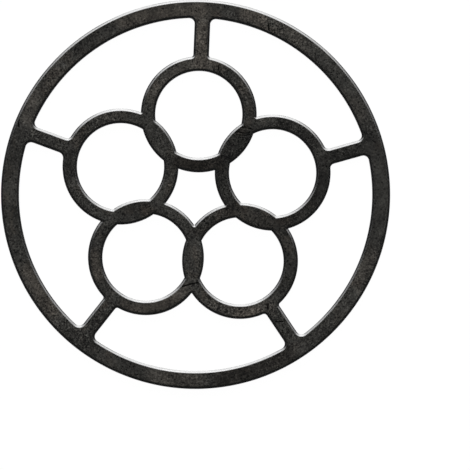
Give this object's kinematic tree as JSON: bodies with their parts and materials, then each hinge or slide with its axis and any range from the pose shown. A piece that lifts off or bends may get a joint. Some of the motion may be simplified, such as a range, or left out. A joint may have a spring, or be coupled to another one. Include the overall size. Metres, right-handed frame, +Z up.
{
  "type": "gas hob reducer ring",
  "caption": "Flat round cast plate: crossing small rings held on spokes inside a rim, laid over a gas burner to carry a small pot.",
  "frame": {"origin": "middle of the underside, on the plane that the plate lies on", "axes": "+Z up through the plate's thickness, out of the face that the pan rests on; +Y along the first spoke"},
  "size_m": [0.142, 0.142, 0.0035],
  "materials": {
    "cast_iron": "dark heat-blackened cast skin, mottled, with smoother worn chamfers"
  },
  "bodies": {
    "root": {"reducer_ring": "cast_iron"}
  },
  "joints": []
}
